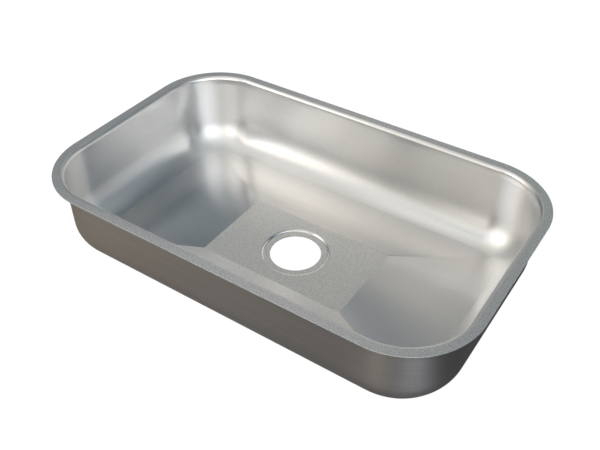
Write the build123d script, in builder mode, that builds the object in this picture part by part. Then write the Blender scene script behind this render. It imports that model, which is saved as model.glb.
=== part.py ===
from build123d import *
from math import atan2, degrees, radians, sin, tan
import os

# Undermount kitchen sink: one bowl drawn from stainless sheet, with damping pads
# glued beneath its floor. Millimetres. The origin is on the surface that the sink
# stands on, straight below the middle of the drain. +X runs along the long side
# to the right, +Y to the rear and +Z up.

# Sheet and flange
sheet = 1.2  # 18 gauge
flange_reach = 20.0  # from the inner wall to the flange's outer edge
flange_edge = 0.3  # deburred outer edge of the flange
lip_radius = 6.6  # the flange rolls over into the basin

# Basin, inside the sheet
basin_length = 716.0
basin_width = 434.0
basin_depth = 152.4  # from the flange's top to the drain seat
corner_radius = 101.6  # in plan
cove_radius = 53.0  # between the walls and the floor

# Floor: a flat panel, with four facets that rise from its edges to the cove
panel_length = 276.0
panel_width = 160.0
end_slope = 2.7  # degrees, left and right facets
side_slope = 5.0  # degrees, front and rear facets
crease_radius = 1.0  # in plan, where a crease leaves the panel
crease_growth = 1.0  # the creases soften by this much per millimetre of rise

# Drain seat, pressed down into the panel
drain_radius = 44.45  # for a 3 1/2 in waste
seat_radius = 55.0  # outer edge of the flat seat
step_radius = 60.0  # where the panel begins
seat_drop = 2.2  # seat below the panel

# Damping pads, under the facets
pad_thickness = 2.5
pad_corner = 12.0
end_pad_gap = 25.0  # from the panel's edge to the pad
end_pad_length = 120.0  # along X
end_pad_width = 140.0
side_pad_gap = 20.0
side_pad_length = 280.0  # along X
side_pad_width = 56.0

# Levels and sizes that follow
panel_top = sheet + seat_drop
flange_top = sheet + basin_depth
rim_length = basin_length + 2 * flange_reach
rim_width = basin_width + 2 * flange_reach
rim_corner = corner_radius + flange_reach
step_turn = 2 * atan2(seat_drop, step_radius - seat_radius)  # of each arc of the step
step_bend = (step_radius - seat_radius) / (2 * sin(step_turn))  # at mid sheet


def basin_form(skin):
    """The basin's space with every face moved outwards by skin, up to the flange's top."""
    bottom = panel_top - skin
    with BuildPart() as form:
        # Panel and facets: an outline that spreads by each facet's slope as it rises
        for level in (bottom, flange_top):
            rise = level - panel_top
            spread_x = rise / tan(radians(end_slope)) + skin / sin(radians(end_slope))
            spread_y = rise / tan(radians(side_slope)) + skin / sin(radians(side_slope))
            crease = crease_radius + crease_growth * (level - bottom)
            with BuildSketch(Plane.XY.offset(level)):
                RectangleRounded(panel_length + 2 * spread_x, panel_width + 2 * spread_y, crease)
        loft()

        # Walls, and the cove along their foot
        with BuildSketch(Plane.XY.offset(bottom)):
            RectangleRounded(basin_length + 2 * skin, basin_width + 2 * skin, corner_radius + skin)
        extrude(amount=flange_top - bottom, mode=Mode.INTERSECT)
        walls = form.faces().filter_by(lambda face: abs(face.normal_at().Z) < 0.001)
        foot = walls.edges().filter_by(lambda edge: edge.bounding_box().max.Z < flange_top / 2)
        fillet(foot, cove_radius + skin)
    return form.part


basin = basin_form(0)
shell = basin_form(sheet)

# Bowl: flange, walls, cove and creased floor in one sheet
with BuildPart() as bowl:
    with BuildSketch(Plane.XY.offset(flange_top)):
        RectangleRounded(rim_length, rim_width, rim_corner)
    extrude(amount=-sheet)
    fillet(bowl.edges().filter_by(Axis.Z, reverse=True), flange_edge)
    add(shell)
    add(basin, mode=Mode.SUBTRACT)

    # The lip is rolled round one centre, so the sheet keeps its thickness
    level_faces = bowl.faces().filter_by(Axis.Z).sort_by(Axis.Z)
    fillet(level_faces[-2].inner_wires().edges(), lip_radius - sheet)
    level_faces = bowl.faces().filter_by(Axis.Z).sort_by(Axis.Z)
    fillet(level_faces[-1].inner_wires().edges(), lip_radius)

    # The seat is a ring that steps down from the panel on two equal arcs
    with BuildSketch(Plane.XY.offset(panel_top)):
        Circle(step_radius)
    extrude(amount=-2 * sheet, mode=Mode.SUBTRACT)
    with BuildSketch(Plane.XZ):
        with BuildLine():
            tight = step_bend - sheet / 2
            wide = step_bend + sheet / 2
            for level, first, second in ((sheet, tight, wide), (0, wide, tight)):
                flat = Line((drain_radius, level), (seat_radius, level))
                rise = JernArc(flat @ 1, flat % 1, first, degrees(step_turn))
                JernArc(rise @ 1, rise % 1, second, -degrees(step_turn))
            Line((drain_radius, 0), (drain_radius, sheet))
            Line((step_radius, panel_top - sheet), (step_radius, panel_top))
        make_face()
    revolve(axis=Axis.Z)

# Damping pads: one flat pad under each facet, clear of the standing surface. Each
# facet's top plane is hinged up about one edge of the panel.
facets = {
    "right": Plane((panel_length / 2, 0, panel_top)).rotated((0, -end_slope, 0)),
    "left": Plane((-panel_length / 2, 0, panel_top)).rotated((0, end_slope, 0)),
    "rear": Plane((0, panel_width / 2, panel_top)).rotated((side_slope, 0, 0)),
    "front": Plane((0, -panel_width / 2, panel_top)).rotated((-side_slope, 0, 0)),
}
end_pad_centre = end_pad_gap + end_pad_length / 2
side_pad_centre = side_pad_gap + side_pad_width / 2
pad_places = {
    "right": (end_pad_centre, 0, end_pad_length, end_pad_width),
    "left": (-end_pad_centre, 0, end_pad_length, end_pad_width),
    "rear": (0, side_pad_centre, side_pad_length, side_pad_width),
    "front": (0, -side_pad_centre, side_pad_length, side_pad_width),
}

os.makedirs("parts", exist_ok=True)
bowl.part.label = "bowl"
export_step(bowl.part, "parts/bowl.step")

for side, (x, y, length, width) in pad_places.items():
    with BuildPart() as pad:
        with BuildSketch(facets[side].offset(-sheet)):
            with Locations((x, y)):
                RectangleRounded(length, width, pad_corner)
        extrude(amount=-pad_thickness)
    pad.part.label = f"sound_pad_{side}"
    export_step(pad.part, f"parts/sound_pad_{side}.step")
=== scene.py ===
from math import atan2, cos, pi, radians, sin, sqrt, tan

import bmesh
import bpy
from mathutils import Matrix, Vector


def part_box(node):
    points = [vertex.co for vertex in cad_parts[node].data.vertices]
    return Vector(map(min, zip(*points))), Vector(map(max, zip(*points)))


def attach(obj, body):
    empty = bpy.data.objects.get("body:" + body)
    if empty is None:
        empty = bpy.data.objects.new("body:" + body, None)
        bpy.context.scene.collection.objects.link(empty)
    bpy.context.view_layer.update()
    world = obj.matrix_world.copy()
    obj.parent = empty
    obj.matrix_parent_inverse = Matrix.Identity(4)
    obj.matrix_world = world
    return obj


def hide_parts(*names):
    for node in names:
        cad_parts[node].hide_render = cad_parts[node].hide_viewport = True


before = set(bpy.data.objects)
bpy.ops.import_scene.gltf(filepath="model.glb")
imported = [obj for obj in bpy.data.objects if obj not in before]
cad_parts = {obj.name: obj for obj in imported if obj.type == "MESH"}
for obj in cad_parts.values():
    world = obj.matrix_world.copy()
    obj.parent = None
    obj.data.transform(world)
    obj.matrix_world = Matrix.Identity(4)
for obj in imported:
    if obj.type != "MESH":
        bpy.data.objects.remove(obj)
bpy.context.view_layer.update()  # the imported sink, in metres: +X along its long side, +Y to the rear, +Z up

bowlLow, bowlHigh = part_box("bowl")
print("frame loaded:", ", ".join(sorted(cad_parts)))


# Node trees are written as sums: a Wire is a socket that can be added, multiplied and so on
class Wire:
    def __init__(self, tree, socket):
        self.tree = tree
        self.socket = socket

    def __add__(self, other):
        return calc("ADD", self, other)

    def __radd__(self, other):
        return calc("ADD", other, self)

    def __sub__(self, other):
        return calc("SUBTRACT", self, other)

    def __rsub__(self, other):
        return calc("SUBTRACT", other, self)

    def __mul__(self, other):
        return calc("MULTIPLY", self, other)

    def __truediv__(self, other):
        return calc("DIVIDE", self, other)

    def __rtruediv__(self, other):
        return calc("DIVIDE", other, self)


def feed(tree, slot, value):  # a wire is linked, anything else is typed in
    if isinstance(value, Wire):
        tree.links.new(value.socket, slot)
    else:
        slot.default_value = value


def calc(operation, *values):
    tree = next(value.tree for value in values if isinstance(value, Wire))
    node = tree.nodes.new("ShaderNodeMath")
    node.operation = operation
    for slot, value in zip(node.inputs, values):
        feed(tree, slot, value)
    return Wire(tree, node.outputs[0])


def between(share, first, second):  # first at 0, second at 1
    return first + (second - first) * share


def addNode(tree, kind, inputs=None, **settings):
    node = tree.nodes.new(kind)
    for name, value in settings.items():
        setattr(node, name, value)
    for name, value in (inputs or {}).items():
        feed(tree, node.inputs[name], value)
    return node


def outOf(node, name=0):
    return Wire(node.id_data, node.outputs[name])


def newGroup(name, kind, inputs, outputs):
    tree = bpy.data.node_groups.new(name, kind)
    for label, socketType in inputs.items():
        tree.interface.new_socket(label, in_out="INPUT", socket_type="NodeSocket" + socketType)
    for label, socketType in outputs.items():
        tree.interface.new_socket(label, in_out="OUTPUT", socket_type="NodeSocket" + socketType)
    start = tree.nodes.new("NodeGroupInput")
    given = {label: Wire(tree, start.outputs[label]) for label in inputs}
    end = tree.nodes.new("NodeGroupOutput")
    return tree, given, end


# Surface effects that several finishes share
def makeGrainGroup():  # bead-blasted pits: a fine grain on a coarser mottle
    tree, given, end = newGroup(
        "blastedGrain", "ShaderNodeTree",
        {"Vector": "Vector", "Grain Size": "Float", "Mottle Size": "Float"},
        {"Height": "Float", "Mottle": "Float"},
    )
    grain = addNode(tree, "ShaderNodeTexNoise", {
        "Vector": given["Vector"], "Scale": 1.0 / given["Grain Size"], "Detail": 2.0, "Roughness": 0.65,
    })
    mottle = addNode(tree, "ShaderNodeTexNoise", {
        "Vector": given["Vector"], "Scale": 1.0 / given["Mottle Size"], "Detail": 3.0, "Roughness": 0.6,
    })
    feed(tree, end.inputs["Height"], outOf(grain, "Fac"))
    feed(tree, end.inputs["Mottle"], outOf(mottle, "Fac"))
    return tree


def makeBrushGroup():  # fine lines that run level round the walls
    tree, given, end = newGroup(
        "brushLines", "ShaderNodeTree",
        {"Vector": "Vector", "Line Length": "Float", "Line Width": "Float"},
        {"Height": "Float", "Streak": "Float"},
    )
    place = addNode(tree, "ShaderNodeSeparateXYZ", {"Vector": given["Vector"]})
    heights = []
    for share in (1.0, 5.0):  # hair lines, and broader strokes
        squeezed = addNode(tree, "ShaderNodeCombineXYZ", {
            "X": outOf(place, "X") / (given["Line Length"] * share),
            "Y": outOf(place, "Y") / (given["Line Length"] * share),
            "Z": outOf(place, "Z") / (given["Line Width"] * share),
        })
        lines = addNode(tree, "ShaderNodeTexNoise", {
            "Vector": outOf(squeezed), "Scale": 1.0, "Detail": 2.0, "Roughness": 0.55,
        })
        heights.append(outOf(lines, "Fac"))
    feed(tree, end.inputs["Height"], (heights[0] + heights[1] * 2.0) / 3.0)
    feed(tree, end.inputs["Streak"], heights[1])
    return tree


def makeHazeGroup():  # broad, faint changes of sheen left by drawing and wiping
    tree, given, end = newGroup(
        "wipedHaze", "ShaderNodeTree", {"Vector": "Vector", "Patch Size": "Float"}, {"Haze": "Float"},
    )
    haze = addNode(tree, "ShaderNodeTexNoise", {
        "Vector": given["Vector"], "Scale": 1.0 / given["Patch Size"], "Detail": 4.0, "Roughness": 0.55,
        "Distortion": 0.6,
    })
    feed(tree, end.inputs["Haze"], outOf(haze, "Fac"))
    return tree


grainGroup = makeGrainGroup()
brushGroup = makeBrushGroup()
hazeGroup = makeHazeGroup()


def useGroup(tree, group, inputs):
    node = tree.nodes.new("ShaderNodeGroup")
    node.node_tree = group
    for name, value in inputs.items():
        feed(tree, node.inputs[name], value)
    return node


def newMaterial(name):
    material = bpy.data.materials.new(name)
    material.use_nodes = True
    tree = material.node_tree
    tree.nodes.clear()
    shader = tree.nodes.new("ShaderNodeBsdfPrincipled")
    output = tree.nodes.new("ShaderNodeOutputMaterial")
    tree.links.new(shader.outputs["BSDF"], output.inputs["Surface"])
    place = outOf(addNode(tree, "ShaderNodeTexCoord"), "Object")
    return material, tree, shader, place


def tint(tree, color, shade):  # the colour, lighter or darker by shade
    scaled = addNode(tree, "ShaderNodeVectorMath", {0: color, "Scale": shade}, operation="SCALE")
    return outOf(scaled)


steelFinishes = {
    "blastedSteel": {  # the flange's top face
        "color": (0.57, 0.577, 0.588), "roughness": 0.38, "roughnessSpread": 0.02, "anisotropy": 0.0,
        "grainSize": 0.0010, "mottleSize": 0.0021, "grainDepth": 0.000012, "mottleShade": 1.35,
        "lineLength": 0.09, "lineWidth": 0.0006, "lineDepth": 0.0, "lineShade": 0.0, "patchSize": 0.12,
    },
    "blastedPanel": {  # the floor's flat panel and the drain seat
        "color": (0.62, 0.62, 0.61), "roughness": 0.36, "roughnessSpread": 0.02, "anisotropy": 0.0,
        "grainSize": 0.0011, "mottleSize": 0.0028, "grainDepth": 0.000010, "mottleShade": 0.85,
        "lineLength": 0.09, "lineWidth": 0.0006, "lineDepth": 0.0, "lineShade": 0.0, "patchSize": 0.12,
    },
    "satinSteel": {  # walls, cove and facets inside, with the facets a little smoother
        "color": (0.66, 0.655, 0.65), "roughness": 0.32, "roughnessSpread": 0.01, "anisotropy": 0.95,
        "facetRoughness": 0.19,
        "grainSize": 0.0014, "mottleSize": 0.004, "grainDepth": 0.0, "mottleShade": 0.14,
        "lineLength": 0.12, "lineWidth": 0.0005, "lineDepth": 0.000002, "lineShade": 0.04, "patchSize": 0.16,
    },
    "lipSteel": {  # the rolled lip
        "color": (0.64, 0.635, 0.63), "roughness": 0.285, "roughnessSpread": 0.01, "anisotropy": 0.5,
        "grainSize": 0.0014, "mottleSize": 0.005, "grainDepth": 0.0, "mottleShade": 0.02,
        "lineLength": 0.12, "lineWidth": 0.0005, "lineDepth": 0.000002, "lineShade": 0.03, "patchSize": 0.16,
    },
    "outerSteel": {  # the walls' outside and the underside
        "color": (0.58, 0.57, 0.555), "roughness": 0.30, "roughnessSpread": 0.02, "anisotropy": 0.6,
        "grainSize": 0.0014, "mottleSize": 0.005, "grainDepth": 0.000001, "mottleShade": 0.04,
        "lineLength": 0.05, "lineWidth": 0.0013, "lineDepth": 0.000004, "lineShade": 0.25, "patchSize": 0.14,
    },
}
wallFoot = (0.005, 0.016)  # between these heights the facets' roughness turns into the walls'


def makeSteel(name, finish):
    material, tree, shader, place = newMaterial(name)
    grain = useGroup(tree, grainGroup, {
        "Vector": place, "Grain Size": finish["grainSize"], "Mottle Size": finish["mottleSize"],
    })
    lines = useGroup(tree, brushGroup, {
        "Vector": place, "Line Length": finish["lineLength"], "Line Width": finish["lineWidth"],
    })
    haze = useGroup(tree, hazeGroup, {"Vector": place, "Patch Size": finish["patchSize"]})

    mottle = (outOf(grain, "Mottle") - 0.5) * finish["mottleShade"]
    streak = (outOf(lines, "Streak") - 0.5) * finish["lineShade"]
    feed(tree, shader.inputs["Base Color"], tint(tree, finish["color"], 1.0 + mottle + streak))
    shader.inputs["Metallic"].default_value = 1.0
    shader.inputs["Anisotropic"].default_value = finish["anisotropy"]
    shader.inputs["Anisotropic Rotation"].default_value = 0.25  # the brushing runs level, round the basin
    height = outOf(addNode(tree, "ShaderNodeSeparateXYZ", {"Vector": place}), "Z")
    roughness = outOf(addNode(tree, "ShaderNodeMapRange", {
        "Value": height, "From Min": wallFoot[0], "From Max": wallFoot[1],
        "To Min": finish.get("facetRoughness", finish["roughness"]), "To Max": finish["roughness"],
    }, interpolation_type="SMOOTHSTEP"))
    spread = (outOf(haze, "Haze") - 0.5) * finish["roughnessSpread"] * 2.0
    feed(tree, shader.inputs["Roughness"], roughness + spread)

    relief = outOf(grain, "Height") * finish["grainDepth"] + outOf(lines, "Height") * finish["lineDepth"]
    bump = addNode(tree, "ShaderNodeBump", {"Strength": 1.0, "Distance": 1.0, "Height": relief})
    feed(tree, shader.inputs["Normal"], outOf(bump, "Normal"))
    return material


steels = {name: makeSteel(name, finish) for name, finish in steelFinishes.items()}
print("steel finishes made:", len(steels))


# The bowl
bowl = {
    "sheet": 0.0012,
    "flangeReach": 0.020,  # from the inner wall to the flange's edge
    "flangeEdge": 0.0003,  # rounding of the flange's edge
    "lipRadius": 0.0066,
    "cornerRadius": 0.1016,
    "coveRadius": 0.053,
    "panelLength": 0.276,
    "panelWidth": 0.160,
    "endSlope": radians(2.7),
    "sideSlope": radians(5.0),
    "creaseRadius": 0.001,
    "creaseGrowth": 1.0,  # the creases soften by this much for each metre of rise
    "creaseBlend": 0.07,  # height of a crease's rounding for each metre of its radius
    "drainRadius": 0.04445,
    "drainEdge": 0.00015,  # rounding of the drain hole's edges
    "seatRadius": 0.055,
    "stepRadius": 0.060,
    "seatDrop": 0.0022,
    "columns": 96,  # of faces along each side, a multiple of four
    "rows": {  # of faces along the section, from one part of it to the next
        "edge": 4, "lip": 16, "wall": 10, "cove": 28, "facet": 24, "panel": 10, "step": 7, "drain": 3,
    },
    "creaseHold": 0.015,  # rows this near the panel's edge, as a share, keep it crisp
    "floorEdge": 0.003,  # how far the floor runs into the cove where a crease meets it, near enough
    "seamGap": 0.00002,  # points nearer than this are merged
}
rimTop = bowlHigh.z
lipLevel = rimTop - bowl["lipRadius"]
basinLength = bowlHigh.x - bowlLow.x - 2 * bowl["flangeReach"]
basinWidth = bowlHigh.y - bowlLow.y - 2 * bowl["flangeReach"]
panelTop = bowl["sheet"] + bowl["seatDrop"]
stepTurn = 2 * atan2(bowl["seatDrop"], bowl["stepRadius"] - bowl["seatRadius"])
stepBend = (bowl["stepRadius"] - bowl["seatRadius"]) / (2 * sin(stepTurn))
zoneFinishes = ["blastedSteel", "lipSteel", "satinSteel", "blastedPanel", "outerSteel"]


def creaseTurn():  # where a crease meets the cove, as an angle round the basin's corner
    start = Vector((
        (bowl["panelLength"] - basinLength) / 2 + bowl["cornerRadius"],
        (bowl["panelWidth"] - basinWidth) / 2 + bowl["cornerRadius"],
    ))
    run = Vector((1 / tan(bowl["endSlope"]), 1 / tan(bowl["sideSlope"]))).normalized()
    foot = bowl["cornerRadius"] - bowl["coveRadius"] + bowl["floorEdge"]
    travel = -start.dot(run) + sqrt(start.dot(run) ** 2 - start.length_squared + foot ** 2)
    meeting = start + run * travel
    return atan2(meeting.y, meeting.x)


def sectionRows(skin):  # the bowl's section, from the flange's edge to the drain, skin below the top face
    rows = []
    counts = bowl["rows"]
    upward = -1 if skin else 1

    def row(finish, level=0.0, out=skin, radius=0.0, wall=0.0, cove=0.0, panel=0.0, circle=0.0):
        zone = zoneFinishes.index("outerSteel" if skin else finish)
        rows.append(((out, level, radius), (wall, cove, panel), circle, zone))

    def spread(count, first=1):  # even shares up to 1
        return [step / count for step in range(first, count + 1)]

    face = rimTop - skin
    edge = bowl["flangeEdge"]
    row("blastedSteel", out=bowl["flangeReach"], level=rimTop - bowl["sheet"] / 2)
    for share in spread(counts["edge"], 0):
        turn = share * pi / 2
        row("blastedSteel", out=bowl["flangeReach"] - edge * (1 - cos(turn)),
            level=face - upward * edge * (1 - sin(turn)))
    flatReach = bowl["flangeReach"] - edge
    for share in (0.03, 0.2, 0.4, 0.6, 0.8, 0.97):  # close together at both ends, so that the face stays flat
        row("blastedSteel", out=flatReach + (bowl["lipRadius"] - flatReach) * share, level=face)

    lipBend = bowl["lipRadius"] - skin
    for share in spread(counts["lip"], 0):
        turn = share * pi / 2
        row("lipSteel", out=bowl["lipRadius"] - lipBend * sin(turn), level=lipLevel + lipBend * cos(turn))
    for share in spread(counts["wall"]):
        row("satinSteel", level=lipLevel, wall=share)
    for share in spread(counts["cove"]):
        row("satinSteel", level=lipLevel, wall=1.0, cove=share)
    for share in spread(counts["facet"])[:-1] + [1 - bowl["creaseHold"]]:
        row("satinSteel", level=lipLevel, wall=1.0, cove=1.0, panel=share)
    row("blastedPanel", level=lipLevel, wall=1.0, cove=1.0, panel=1.0)

    upper, lower = stepBend + bowl["sheet"] / 2 - skin, stepBend - bowl["sheet"] / 2 + skin
    for share in [bowl["creaseHold"]] + spread(counts["panel"]):
        row("blastedPanel", level=panelTop - skin, radius=bowl["stepRadius"], circle=share)
    for share in spread(counts["step"]):  # over the edge of the step
        turn = share * stepTurn
        row("satinSteel", circle=1.0, radius=bowl["stepRadius"] - upper * sin(turn),
            level=panelTop - skin - upper * (1 - cos(turn)))
    for share in spread(counts["step"]):  # and out onto the seat
        turn = (1 - share) * stepTurn
        finish = "satinSteel" if share < 1 else "blastedPanel"
        row(finish, circle=1.0, radius=bowl["seatRadius"] + lower * sin(turn),
            level=bowl["sheet"] - skin + lower * (1 - cos(turn)))
    hole = bowl["drainRadius"] + bowl["drainEdge"]
    for share in (0.05, 0.35, 0.65, 0.95):  # the seat, flat again
        row("blastedPanel", circle=1.0, radius=bowl["seatRadius"] + (hole - bowl["seatRadius"]) * share,
            level=bowl["sheet"] - skin)
    for share in spread(counts["drain"], 0):
        turn = share * pi / 2
        row("blastedPanel", circle=1.0, radius=hole - bowl["drainEdge"] * sin(turn),
            level=bowl["sheet"] - skin - upward * bowl["drainEdge"] * (1 - cos(turn)))
    row("blastedPanel", circle=1.0, radius=bowl["drainRadius"], level=bowl["sheet"] / 2)
    return rows


def sectionObject(name, rows):  # each row is a vertex, with its shares of wall, cove, panel and circle
    mesh = bpy.data.meshes.new(name)
    mesh.from_pydata([place for place, shares, circle, zone in rows], [], [])
    mesh.attributes.new("shares", "FLOAT_VECTOR", "POINT").data.foreach_set(
        "vector", [value for place, shares, circle, zone in rows for value in shares])
    mesh.attributes.new("circle", "FLOAT", "POINT").data.foreach_set("value", [row[2] for row in rows])
    mesh.attributes.new("zone", "INT", "POINT").data.foreach_set("value", [row[3] for row in rows])
    section = bpy.data.objects.new(name, mesh)
    bpy.context.scene.collection.objects.link(section)
    return section


sizeInputs = {
    "Basin Length": basinLength,
    "Basin Width": basinWidth,
    "Corner Radius": bowl["cornerRadius"],
    "Cove Radius": bowl["coveRadius"],
    "Panel Length": bowl["panelLength"],
    "Panel Width": bowl["panelWidth"],
    "Panel Level": panelTop,
    "End Slope": tan(bowl["endSlope"]),
    "Side Slope": tan(bowl["sideSlope"]),
    "Crease Radius": bowl["creaseRadius"],
    "Crease Growth": bowl["creaseGrowth"],
    "Crease Blend": bowl["creaseBlend"],
    "Crease Turn": creaseTurn(),
    "Columns": float(bowl["columns"]),
}


def makeRiseGroup():  # how far the creased floor has risen above the panel at a point
    tree, given, end = newGroup(
        "floorRise", "GeometryNodeTree",
        {name: "Float" for name in (
            "Out", "Along", "Panel Far", "Panel Half", "Own Slope", "Other Slope",
            "Crease Radius", "Crease Growth", "Crease Blend",
        )},
        {"Rise": "Float", "Own Share": "Float"},
    )
    own = (given["Out"] - given["Panel Far"]) * given["Own Slope"]
    other = (calc("ABSOLUTE", given["Along"]) - given["Panel Half"]) * given["Other Slope"]
    steepest = calc("MAXIMUM", calc("MAXIMUM", own, other), 0.0)
    soft = (given["Crease Radius"] + given["Crease Growth"] * steepest) * given["Crease Blend"]
    feed(tree, end.inputs["Rise"], calc("SMOOTH_MAX", own, other, soft))
    share = 0.5 + (own - other) / (soft * 2.0)
    feed(tree, end.inputs["Own Share"], calc("MINIMUM", calc("MAXIMUM", share, 0.0), 1.0))
    return tree


def makeSkinGroup(riseGroup):  # sweeps one section round the four sides
    inputs = {"Section": "Geometry", "Skin": "Float"}
    inputs.update({name: "Float" for name in sizeInputs})
    tree, given, end = newGroup("bowlSkin", "GeometryNodeTree", inputs, {"Skin": "Geometry"})

    counter = addNode(tree, "GeometryNodeAttributeDomainSize", {
        "Geometry": given["Section"],
    }, component="MESH")
    rowCount = outOf(counter, "Point Count")
    grid = addNode(tree, "GeometryNodeMeshGrid", {
        "Vertices X": given["Columns"] * 4.0 + 1.0, "Vertices Y": rowCount,
    })
    index = outOf(addNode(tree, "GeometryNodeInputIndex"))

    def named(name, kind):
        return outOf(addNode(tree, "GeometryNodeInputNamedAttribute", {"Name": name}, data_type=kind))

    def sample(value, kind, row):
        node = addNode(tree, "GeometryNodeSampleIndex", {
            "Geometry": given["Section"], "Value": value, "Index": row,
        }, data_type=kind, domain="POINT")
        return outOf(node)

    def parts(vector):
        node = addNode(tree, "ShaderNodeSeparateXYZ", {"Vector": vector})
        return outOf(node, "X"), outOf(node, "Y"), outOf(node, "Z")

    row = calc("MODULO", index, rowCount)
    out, level, radius = parts(sample(outOf(addNode(tree, "GeometryNodeInputPosition")), "FLOAT_VECTOR", row))
    wall, cove, panel = parts(sample(named("shares", "FLOAT_VECTOR"), "FLOAT_VECTOR", row))
    circle = sample(named("circle", "FLOAT"), "FLOAT", row)

    place = calc("FLOOR", index / rowCount) / given["Columns"]
    sector = calc("FLOOR", place)
    side = calc("MODULO", sector, 2.0)  # 0 at the two ends, 1 at the front and rear
    swing = (place - sector) * 2.0 - 1.0
    corner = given["Corner Radius"]
    far = between(side, given["Basin Length"], given["Basin Width"]) / 2.0 - corner
    straight = between(side, given["Basin Width"], given["Basin Length"]) / 2.0 - corner
    arc = between(side, given["Crease Turn"], pi / 2 - given["Crease Turn"])
    panelFar = between(side, given["Panel Length"], given["Panel Width"]) / 2.0
    panelHalf = between(side, given["Panel Width"], given["Panel Length"]) / 2.0
    ownSlope = between(side, given["End Slope"], given["Side Slope"])
    otherSlope = between(side, given["Side Slope"], given["End Slope"])

    # Half of each side's columns follow its straight part, and half its two corner arcs
    reach = calc("ABSOLUTE", swing) * 2.0
    turn = calc("MAXIMUM", reach - 1.0, 0.0) * arc
    centreAlong = calc("SIGN", swing) * calc("MINIMUM", reach, 1.0) * straight
    normalOut = calc("COSINE", turn)
    normalAlong = calc("SIGN", swing) * calc("SINE", turn)

    def floorAt(outward, along):
        node = addNode(tree, "GeometryNodeGroup", node_tree=riseGroup)
        values = {
            "Out": outward, "Along": along, "Panel Far": panelFar, "Panel Half": panelHalf,
            "Own Slope": ownSlope, "Other Slope": otherSlope, "Crease Radius": given["Crease Radius"],
            "Crease Growth": given["Crease Growth"], "Crease Blend": given["Crease Blend"],
        }
        for name, value in values.items():
            feed(tree, node.inputs[name], value)
        return outOf(node, "Rise"), outOf(node, "Own Share")

    # The cove: a ball that touches the wall and the sloping floor
    coveRadius = given["Cove Radius"]
    inner = corner - coveRadius
    coveRise, ownShare = floorAt(far + normalOut * inner, centreAlong + normalAlong * inner)
    slope = between(ownShare, otherSlope * calc("ABSOLUTE", normalAlong), ownSlope * normalOut)
    tilt = calc("ARCTANGENT", slope)
    coveLevel = given["Panel Level"] + coveRise + coveRadius / calc("COSINE", tilt)
    roll = cove * (pi / 2 - tilt)
    ball = coveRadius + given["Skin"]
    radial = corner + out - ball * (1.0 - calc("COSINE", roll))
    wallOut = far + normalOut * radial
    wallAlong = centreAlong + normalAlong * radial
    wallLevel = between(wall, level, coveLevel) - ball * calc("SINE", roll)

    # The facets run from the cove's foot to the panel's edge
    facetOut = between(panel, wallOut, panelFar)
    facetAlong = between(panel, wallAlong, swing * panelHalf)
    facetRise = floorAt(facetOut, facetAlong)[0]
    facetLevel = given["Panel Level"] + facetRise - given["Skin"] / calc("COSINE", tilt)
    onFacet = calc("GREATER_THAN", panel, 0.0)

    # The panel closes in on the drain's circle
    span = calc("SQRT", panelFar * panelFar + swing * panelHalf * swing * panelHalf)
    onCircle = calc("GREATER_THAN", circle, 0.0)
    circleOut = between(circle, panelFar, panelFar / span * radius)
    circleAlong = between(circle, swing * panelHalf, swing * panelHalf / span * radius)

    finalLevel = between(onCircle, between(onFacet, wallLevel, facetLevel), level)
    spot = addNode(tree, "ShaderNodeCombineXYZ", {
        "X": between(onCircle, facetOut, circleOut),
        "Y": between(onCircle, facetAlong, circleAlong),
        "Z": finalLevel,
    })
    turned = addNode(tree, "ShaderNodeVectorRotate", {
        "Vector": outOf(spot), "Angle": sector * (pi / 2),
    }, rotation_type="Z_AXIS")
    shaped = addNode(tree, "GeometryNodeSetPosition", {
        "Geometry": outOf(grid, "Mesh"), "Position": outOf(turned),
    })
    zone = sample(named("zone", "INT"), "INT", calc("MODULO", index, rowCount - 1.0))
    marked = addNode(tree, "GeometryNodeStoreNamedAttribute", {
        "Geometry": outOf(shaped), "Name": "zone", "Value": zone,
    }, data_type="INT", domain="FACE")
    feed(tree, end.inputs["Skin"], outOf(marked))
    return tree


def makeBowlTree(skinGroup, sheetBelow):
    inputs = {"Geometry": "Geometry", "Sheet": "Float"}
    inputs.update({name: "Float" for name in sizeInputs})
    tree, given, end = newGroup("sinkBowl", "GeometryNodeTree", inputs, {"Geometry": "Geometry"})
    below = addNode(tree, "GeometryNodeObjectInfo", {"Object": sheetBelow})

    def skin(section, depth):
        node = addNode(tree, "GeometryNodeGroup", node_tree=skinGroup)
        feed(tree, node.inputs["Section"], section)
        feed(tree, node.inputs["Skin"], depth)
        for name in sizeInputs:
            feed(tree, node.inputs[name], given[name])
        return outOf(node)

    topSkin = skin(given["Geometry"], 0.0)
    underSkin = skin(outOf(below, "Geometry"), given["Sheet"])
    flipped = addNode(tree, "GeometryNodeFlipFaces", {"Mesh": underSkin})
    joined = tree.nodes.new("GeometryNodeJoinGeometry")
    tree.links.new(topSkin.socket, joined.inputs[0])
    tree.links.new(flipped.outputs[0], joined.inputs[0])
    merged = addNode(tree, "GeometryNodeMergeByDistance", {
        "Geometry": outOf(joined), "Distance": bowl["seamGap"],
    })
    smooth = addNode(tree, "GeometryNodeSetShadeSmooth", {"Geometry": outOf(merged), "Shade Smooth": True})
    result = outOf(addNode(tree, "GeometryNodeRealizeInstances", {"Geometry": outOf(smooth)}))
    zone = outOf(addNode(tree, "GeometryNodeInputNamedAttribute", {"Name": "zone"}, data_type="INT"))
    for number, name in enumerate(zoneFinishes):  # the first finish goes on every face
        chosen = calc("COMPARE", zone, float(number), 0.5) if number else True
        result = outOf(addNode(tree, "GeometryNodeSetMaterial", {
            "Geometry": result, "Selection": chosen, "Material": steels[name],
        }))
    feed(tree, end.inputs["Geometry"], result)
    return tree


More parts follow.
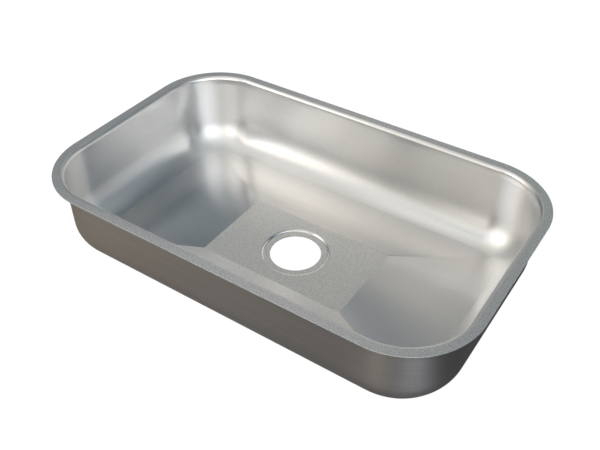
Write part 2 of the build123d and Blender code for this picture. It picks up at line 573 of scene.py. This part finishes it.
def bake(host, name):  # the modifier's result as a plain mesh on an object of its own
    evaluated = host.evaluated_get(bpy.context.evaluated_depsgraph_get())
    mesh = bpy.data.meshes.new_from_object(evaluated)
    mesh.materials.pop(index=0)  # the grid's empty slot
    mesh.name = name
    piece = bpy.data.objects.new(name, mesh)
    bpy.context.scene.collection.objects.link(piece)
    host.modifiers.clear()
    bpy.data.objects.remove(host)
    return piece


def makeBowl():
    topSection = sectionObject("bowlTopSection", sectionRows(0))
    underSection = sectionObject("bowlUnderSection", sectionRows(bowl["sheet"]))
    tree = makeBowlTree(makeSkinGroup(makeRiseGroup()), underSection)
    modifier = topSection.modifiers.new("sinkBowl", "NODES")
    modifier.node_group = tree
    sockets = tree.interface.items_tree
    identifiers = {item.name: item.identifier for item in sockets if item.in_out == "INPUT"}
    modifier[identifiers["Sheet"]] = bowl["sheet"]
    for name, value in sizeInputs.items():
        modifier[identifiers[name]] = value
    piece = bake(topSection, "drawn_bowl")
    bpy.data.objects.remove(underSection)
    return piece


drawnBowl = makeBowl()
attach(drawnBowl, "root")
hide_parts("bowl")
print("bowl made:", len(drawnBowl.data.polygons), "faces")


# Damping pads, glued beneath the four facets
pads = {
    "thickness": 0.0025,
    "corner": 0.012,
    "cornerSteps": 8,
    "edge": 0.0006,  # rounding of the free edge
    "endGap": 0.025,  # from the panel's edge to the pad
    "endLength": 0.120,
    "endWidth": 0.140,
    "sideGap": 0.020,
    "sideLength": 0.280,
    "sideWidth": 0.056,
    "color": (0.055, 0.055, 0.058),
    "roughness": 0.72,
    "roughnessSpread": 0.2,
    "grainSize": 0.0006,
    "grainDepth": 0.00006,
    "mottleSize": 0.0072,
    "patchSize": 0.03,
    "patchShade": 0.3,  # from the darkest to the lightest patches
}


def makeRubber():
    material, tree, shader, place = newMaterial("dampingRubber")
    grain = useGroup(tree, grainGroup, {
        "Vector": place, "Grain Size": pads["grainSize"], "Mottle Size": pads["mottleSize"],
    })
    haze = useGroup(tree, hazeGroup, {"Vector": place, "Patch Size": pads["patchSize"]})
    shade = 1.0 + (outOf(haze, "Haze") - 0.5) * pads["patchShade"]
    feed(tree, shader.inputs["Base Color"], tint(tree, pads["color"], shade))
    spread = (outOf(grain, "Mottle") - 0.5) * pads["roughnessSpread"]
    feed(tree, shader.inputs["Roughness"], pads["roughness"] + spread)
    bump = addNode(tree, "ShaderNodeBump", {
        "Distance": pads["grainDepth"], "Height": outOf(grain, "Height"),
    })
    feed(tree, shader.inputs["Normal"], outOf(bump, "Normal"))
    return material


def makePad(name, centre, size, hinge):  # hinge takes the flat pad onto its facet's underside
    shape = bmesh.new()
    corners = []
    for quarter, (signX, signY) in enumerate([(1, 1), (-1, 1), (-1, -1), (1, -1)]):
        middle = Vector((signX * (size[0] / 2 - pads["corner"]), signY * (size[1] / 2 - pads["corner"]), 0))
        for step in range(pads["cornerSteps"] + 1):
            turn = (quarter + step / pads["cornerSteps"]) * pi / 2
            corners.append(middle + Vector((cos(turn), sin(turn), 0)) * pads["corner"])
    outline = [shape.verts.new(centre + corner) for corner in corners]
    upper = shape.faces.new(outline)
    grown = bmesh.ops.extrude_face_region(shape, geom=[upper])
    lowered = [item for item in grown["geom"] if isinstance(item, bmesh.types.BMVert)]
    bmesh.ops.translate(shape, verts=lowered, vec=(0, 0, -pads["thickness"]))
    lowerFace = next(item for item in grown["geom"] if isinstance(item, bmesh.types.BMFace))
    bmesh.ops.bevel(shape, geom=list(lowerFace.edges), offset=pads["edge"], segments=3, profile=0.5,
                    affect="EDGES")
    bmesh.ops.recalc_face_normals(shape, faces=shape.faces)
    bmesh.ops.transform(shape, matrix=hinge, verts=shape.verts)
    mesh = bpy.data.meshes.new(name)
    shape.to_mesh(mesh)
    shape.free()
    piece = bpy.data.objects.new(name, mesh)
    bpy.context.scene.collection.objects.link(piece)
    return piece


def makePads():
    rubber = makeRubber()
    endPlace = pads["endGap"] + pads["endLength"] / 2
    sidePlace = pads["sideGap"] + pads["sideWidth"] / 2
    sides = {
        "right": ((bowl["panelLength"] / 2, 0), "Y", -bowl["endSlope"], (endPlace, 0)),
        "left": ((-bowl["panelLength"] / 2, 0), "Y", bowl["endSlope"], (-endPlace, 0)),
        "rear": ((0, bowl["panelWidth"] / 2), "X", bowl["sideSlope"], (0, sidePlace)),
        "front": ((0, -bowl["panelWidth"] / 2), "X", -bowl["sideSlope"], (0, -sidePlace)),
    }
    endSize = (pads["endLength"], pads["endWidth"])
    sideSize = (pads["sideLength"], pads["sideWidth"])
    for side, (edge, axis, slope, place) in sides.items():
        size = endSize if axis == "Y" else sideSize
        hinge = Matrix.Translation((*edge, panelTop)) @ Matrix.Rotation(slope, 4, axis)
        centre = Vector((*place, -bowl["sheet"]))
        piece = makePad(f"damping_pad_{side}", centre, size, hinge)
        piece.data.materials.append(rubber)
        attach(piece, "root")
        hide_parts(f"sound_pad_{side}")


makePads()
print("damping pads made")


# Floor, light and camera
studio = {
    "floorSize": 40.0,
    "floorLevel": -0.0004,  # a little below the drain seat, which the sink stands on
    "floorColor": (0.80, 0.80, 0.80),
    "floorWhite": 0.94,  # the white that the floor shows whatever the light
    "floorShare": 0.14,  # and the share of its lit colour, which keeps the shadow
    # the card's painted shade, which the steel's outside shows as a dark reflection
    "paintedShadeColor": (0.03, 0.03, 0.035),
    "cardRadius": 0.9,  # the card of painted shade and light is solid to here, and gone at its edge
    "cardEdge": 2.25,
    "cardLevel": -0.0002,
    "tentRadius": 20.0,
    "target": (0.0651, -0.0832, 0.1536),
    "azimuth": 33.758,
    "elevation": 40.288,
    "distance": 1.1295,
    "lens": 45.22,
    "sensor": 36.0,
    "nearest": 0.01,  # nothing closer to the camera is drawn
    "reflections": 10,  # the basin reflects itself many times over
}
# Soft lights on the tent, and flags that take light away. Bearing, height and width are in degrees,
# and the bearing is counted from +X towards +Y.
tentColor = (1.63, 1.61, 1.52)
tentLimit = (3.0, 3.0, 3.0)  # the windows are even white panes with soft edges
tentLights = {
    "coolWindow": {"bearing": 329, "height": 27, "width": 14, "color": (2.52, 2.76, 3.05)},
    "warmWindow": {"bearing": 224, "height": 32, "width": 12, "color": (3.68, 3.34, 2.90)},
    "warmCurtain": {"bearing": 274, "height": 23, "width": 12.4, "color": (2.63, 2.39, 2.15)},
    "windowPost": {"bearing": 251, "height": 22, "width": 6.3, "color": (-3.15, -3.05, -2.85)},
    "postTop": {"bearing": 238, "height": 52, "width": 6, "color": (-2.30, -2.08, -1.70)},
    "leftPatch": {"bearing": 136, "height": 40, "width": 4.6, "color": (0.83, 0.80, 0.77)},
    "rightPatch": {"bearing": 120, "height": 35, "width": 4.4, "color": (0.93, 0.85, 0.75)},
    "highPatch": {"bearing": 131, "height": 60, "width": 5.4, "color": (1.98, 1.72, 1.43)},
    "smallPatch": {"bearing": 108, "height": 44, "width": 3.2, "color": (0.90, 0.75, 0.59)},
    "rearFlag": {"bearing": 82, "height": 59, "width": 39, "color": (-1.32, -1.25, -1.15)},
    "leftFlag": {"bearing": 159, "height": 26, "width": 29.5, "color": (-1.28, -1.25, -1.15)},
    "rightFlag": {"bearing": 350, "height": 16, "width": 11.2, "color": (-2.12, -2.08, -2.00)},
    "cornerFlag": {"bearing": 30, "height": 30, "width": 10, "color": (-1.20, -1.08, -0.90)},
    "highFlag": {"bearing": 114, "height": 59, "width": 4.2, "color": (-0.80, -0.72, -0.48)},
    "smallFlag": {"bearing": 133, "height": 44, "width": 3.8, "color": (-0.71, -0.65, -0.61)},
    "lowFlag": {"bearing": 200, "height": 14, "width": 12, "color": (-0.22, -0.27, -0.33)},
    "frontFlag": {"bearing": 236, "height": 1, "width": 8, "color": (-1.6, -1.55, -1.45)},
    "leftGlow": {"bearing": 169, "height": 56, "width": 17.4, "color": (0.85, 0.81, 0.74)},
}
# Painted pools of light on the card, which the steel's outside shows as painted reflections
paintedLightPools = {
    "frontLeft": {"place": (-0.42, -0.42), "radius": 0.36, "color": (0.24, 0.2, 0.16)},
    "front": {"place": (0.08, -0.38), "radius": 0.34, "color": (0.11, 0.103, 0.095)},
    "cornerWarm": {"place": (0.27, -0.32), "radius": 0.06, "color": (0.2, 0.17, 0.14)},
    "cornerCool": {"place": (0.405, -0.255), "radius": 0.07, "color": (0.27, 0.28, 0.31)},
}


def stageMaterial(name):  # no light is aimed at these surfaces' glow: rays find it by themselves
    material = bpy.data.materials.new(name)
    material.use_nodes = True
    material.cycles.emission_sampling = "NONE"
    tree = material.node_tree
    tree.nodes.clear()
    return material, tree, tree.nodes.new("ShaderNodeOutputMaterial")


def mixShaders(tree, share, first, second):
    blend = addNode(tree, "ShaderNodeMixShader", {"Fac": share})
    tree.links.new(first.outputs[0], blend.inputs[1])
    tree.links.new(second.outputs[0], blend.inputs[2])
    return blend


def addColors(tree, first, color, amount):
    scaled = tint(tree, color, amount)
    return outOf(addNode(tree, "ShaderNodeVectorMath", {0: first, 1: scaled}, operation="ADD"))


def addStage(name, mesh, material):
    mesh.materials.append(material)
    backdrop = bpy.data.objects.new(name, mesh)
    bpy.context.scene.collection.objects.link(backdrop)
    return backdrop


def levelSquare(name, half, height):
    mesh = bpy.data.meshes.new(name)
    corners = [(-half, -half, height), (half, -half, height), (half, half, height), (-half, half, height)]
    mesh.from_pydata(corners, [], [(0, 1, 2, 3)])
    return mesh


def makeFloor():
    material, tree, output = stageMaterial("paleFloor")
    color = Vector(studio["floorColor"])
    lit = addNode(tree, "ShaderNodeBsdfDiffuse", {"Color": (*color, 1.0)})
    faint = addNode(tree, "ShaderNodeBsdfDiffuse", {"Color": (*(color * studio["floorShare"]), 1.0)})
    white = addNode(tree, "ShaderNodeEmission", {"Color": (1, 1, 1, 1), "Strength": studio["floorWhite"]})
    seen = tree.nodes.new("ShaderNodeAddShader")
    tree.links.new(faint.outputs[0], seen.inputs[0])
    tree.links.new(white.outputs[0], seen.inputs[1])
    path = addNode(tree, "ShaderNodeLightPath")  # the camera, metal and glass see the white floor
    sightRays = calc("MAXIMUM", outOf(path, "Is Camera Ray"), outOf(path, "Is Glossy Ray"))
    sightRays = calc("MAXIMUM", sightRays, outOf(path, "Is Transmission Ray"))
    fromAbove = mixShaders(tree, sightRays, lit, seen)
    side = addNode(tree, "ShaderNodeNewGeometry")  # from below, the floor lets the sink's underside show
    clear = tree.nodes.new("ShaderNodeBsdfTransparent")
    oneSided = mixShaders(tree, outOf(side, "Backfacing"), fromAbove, clear)
    tree.links.new(oneSided.outputs[0], output.inputs["Surface"])
    addStage("floor", levelSquare("floor", studio["floorSize"] / 2, studio["floorLevel"]), material)


def makePaintedReflectionCard():  # a glowing card round the sink, which only its steel shows: painted shade and painted pools of light, seen as a painted reflection
    material, tree, output = stageMaterial("darkCard")
    place = outOf(addNode(tree, "ShaderNodeTexCoord"), "Object")
    light = studio["paintedShadeColor"]
    for pool in paintedLightPools.values():
        middle = (*pool["place"], 0.0)
        gap = addNode(tree, "ShaderNodeVectorMath", {0: place, 1: middle}, operation="DISTANCE")
        reach = outOf(gap, "Value") / pool["radius"]
        light = addColors(tree, light, pool["color"], calc("EXPONENT", reach * reach * -1.0))
    glow = addNode(tree, "ShaderNodeEmission", {"Color": light, "Strength": 1.0})
    distance = outOf(addNode(tree, "ShaderNodeVectorMath", {0: place}, operation="LENGTH"), "Value")
    fade = addNode(tree, "ShaderNodeMapRange", {
        "Value": distance, "From Min": studio["cardRadius"], "From Max": studio["cardEdge"],
    }, interpolation_type="SMOOTHSTEP")
    clear = tree.nodes.new("ShaderNodeBsdfTransparent")
    tree.links.new(mixShaders(tree, outOf(fade), glow, clear).outputs[0], output.inputs["Surface"])
    card = addStage("darkCard", levelSquare("darkCard", studio["cardEdge"], studio["cardLevel"]), material)
    card.visible_camera = False
    card.visible_diffuse = False
    card.visible_transmission = False
    card.visible_shadow = False


def makeGlowGroup():  # how much of one soft light stands in a direction
    tree, given, end = newGroup(
        "softLight", "ShaderNodeTree",
        {"Ray": "Vector", "Aim": "Vector", "Width": "Float"},
        {"Amount": "Float"},
    )
    facing = addNode(tree, "ShaderNodeVectorMath", {
        0: given["Ray"], 1: given["Aim"],
    }, operation="DOT_PRODUCT")
    miss = outOf(facing, "Value") - 1.0
    feed(tree, end.inputs["Amount"], calc("EXPONENT", miss / (given["Width"] * given["Width"])))
    return tree


def makeTent():  # a dome of soft light, which the camera doesn't see
    material, tree, output = stageMaterial("lightTent")
    place = outOf(addNode(tree, "ShaderNodeTexCoord"), "Object")
    ray = outOf(addNode(tree, "ShaderNodeVectorMath", {0: place}, operation="NORMALIZE"))
    glowGroup = makeGlowGroup()
    light = tentColor
    for lamp in tentLights.values():
        turn, lift = radians(lamp["bearing"]), radians(lamp["height"])
        aim = (cos(turn) * cos(lift), sin(turn) * cos(lift), sin(lift))
        glow = useGroup(tree, glowGroup, {"Ray": ray, "Aim": aim, "Width": radians(lamp["width"])})
        light = addColors(tree, light, lamp["color"], outOf(glow))
    light = outOf(addNode(tree, "ShaderNodeVectorMath", {0: light, 1: (0, 0, 0)}, operation="MAXIMUM"))
    light = outOf(addNode(tree, "ShaderNodeVectorMath", {0: light, 1: tentLimit}, operation="MINIMUM"))
    cloth = addNode(tree, "ShaderNodeEmission", {"Color": light, "Strength": 1.0})
    tree.links.new(cloth.outputs[0], output.inputs["Surface"])

    shape = bmesh.new()
    bmesh.ops.create_uvsphere(shape, u_segments=96, v_segments=48, radius=studio["tentRadius"])
    below = [vert for vert in shape.verts if vert.co.z < -0.001]
    bmesh.ops.delete(shape, geom=below, context="VERTS")
    bmesh.ops.reverse_faces(shape, faces=shape.faces)
    mesh = bpy.data.meshes.new("lightTent")
    shape.to_mesh(mesh)
    shape.free()
    tent = addStage("lightTent", mesh, material)
    tent.visible_camera = False
    tent.visible_transmission = False


def makeWorld():  # plain white, all round
    world = bpy.data.worlds.new("studio")
    bpy.context.scene.world = world
    world.use_nodes = True
    world.cycles.sampling_method = "NONE"
    tree = world.node_tree
    tree.nodes.clear()
    white = addNode(tree, "ShaderNodeBackground", {"Color": (1, 1, 1, 1), "Strength": 1.0})
    output = tree.nodes.new("ShaderNodeOutputWorld")
    tree.links.new(white.outputs[0], output.inputs["Surface"])


def makeCamera():
    turn, lift = radians(studio["azimuth"]), radians(studio["elevation"])
    back = Vector((sin(turn) * cos(lift), -cos(turn) * cos(lift), sin(lift)))
    data = bpy.data.cameras.new("camera")
    data.lens = studio["lens"]
    data.sensor_width = studio["sensor"]
    data.clip_start = studio["nearest"]
    camera = bpy.data.objects.new("camera", data)
    camera.location = Vector(studio["target"]) + back * studio["distance"]
    camera.rotation_euler = back.to_track_quat("Z", "Y").to_euler()
    bpy.context.scene.collection.objects.link(camera)
    bpy.context.scene.camera = camera


makeFloor()
makePaintedReflectionCard()
makeTent()
makeWorld()
makeCamera()
bpy.context.scene.view_settings.view_transform = "Standard"
bpy.context.scene.cycles.glossy_bounces = studio["reflections"]
print("studio made")
